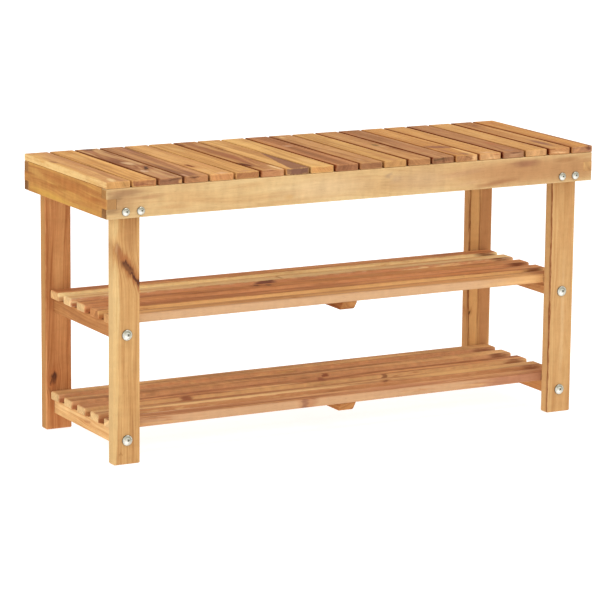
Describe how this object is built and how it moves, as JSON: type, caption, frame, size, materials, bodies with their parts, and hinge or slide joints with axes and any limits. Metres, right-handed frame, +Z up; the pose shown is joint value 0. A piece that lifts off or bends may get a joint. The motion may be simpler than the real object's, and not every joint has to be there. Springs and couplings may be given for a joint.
{
  "type": "entryway bench",
  "caption": "Slatted wooden entryway bench with an apron frame, bolted board legs and slatted shoe shelves below the seat.",
  "frame": {"origin": "on the floor, under the middle of the bench's bounding box", "axes": "+X along the length to the right end as seen from the front, +Y to the rear, +Z up; the front faces -Y"},
  "size_m": [0.9, 0.3262, 0.46],
  "materials": {
    "seat_slats": "oiled acacia slats that differ from light honey to dark reddish brown, satin",
    "aprons": "oiled acacia, light honey with tan streaks, satin",
    "legs": "oiled acacia, honey to orange-brown with straight grain and a few knots, satin",
    "shelf_slats": "oiled acacia, reddish brown and honey, satin",
    "shelf_rails": "oiled acacia, orange-brown, satin",
    "bolts": "bright zinc-plated steel, lightly brushed"
  },
  "bodies": {
    "root": {"seat_slat_01": "seat_slats", "seat_slat_02": "seat_slats", "seat_slat_03": "seat_slats", "seat_slat_04": "seat_slats", "seat_slat_05": "seat_slats", "seat_slat_06": "seat_slats", "seat_slat_07": "seat_slats", "seat_slat_08": "seat_slats", "seat_slat_09": "seat_slats", "seat_slat_10": "seat_slats", "seat_slat_11": "seat_slats", "seat_slat_12": "seat_slats", "seat_slat_13": "seat_slats", "seat_slat_14": "seat_slats", "seat_slat_15": "seat_slats", "seat_slat_16": "seat_slats", "seat_slat_17": "seat_slats", "seat_slat_18": "seat_slats", "seat_slat_19": "seat_slats", "seat_slat_20": "seat_slats", "front_apron": "aprons", "rear_apron": "aprons", "left_apron": "aprons", "right_apron": "aprons", "front_left_leg": "legs", "front_right_leg": "legs", "rear_left_leg": "legs", "rear_right_leg": "legs", "upper_shelf_slat_1": "shelf_slats", "upper_shelf_slat_2": "shelf_slats", "upper_shelf_slat_3": "shelf_slats", "upper_shelf_slat_4": "shelf_slats", "upper_shelf_slat_5": "shelf_slats", "upper_shelf_left_rail": "shelf_rails", "upper_shelf_right_rail": "shelf_rails", "upper_shelf_batten": "shelf_rails", "lower_shelf_slat_1": "shelf_slats", "lower_shelf_slat_2": "shelf_slats", "lower_shelf_slat_3": "shelf_slats", "lower_shelf_slat_4": "shelf_slats", "lower_shelf_slat_5": "shelf_slats", "lower_shelf_left_rail": "shelf_rails", "lower_shelf_right_rail": "shelf_rails", "lower_shelf_batten": "shelf_rails", "front_left_apron_bolt_1": "bolts", "front_left_apron_bolt_2": "bolts", "front_right_apron_bolt_1": "bolts", "front_right_apron_bolt_2": "bolts", "rear_left_apron_bolt_1": "bolts", "rear_left_apron_bolt_2": "bolts", "rear_right_apron_bolt_1": "bolts", "rear_right_apron_bolt_2": "bolts", "front_left_upper_shelf_bolt": "bolts", "front_right_upper_shelf_bolt": "bolts", "rear_left_upper_shelf_bolt": "bolts", "rear_right_upper_shelf_bolt": "bolts", "front_left_lower_shelf_bolt": "bolts", "front_right_lower_shelf_bolt": "bolts", "rear_left_lower_shelf_bolt": "bolts", "rear_right_lower_shelf_bolt": "bolts"}
  },
  "joints": []
}
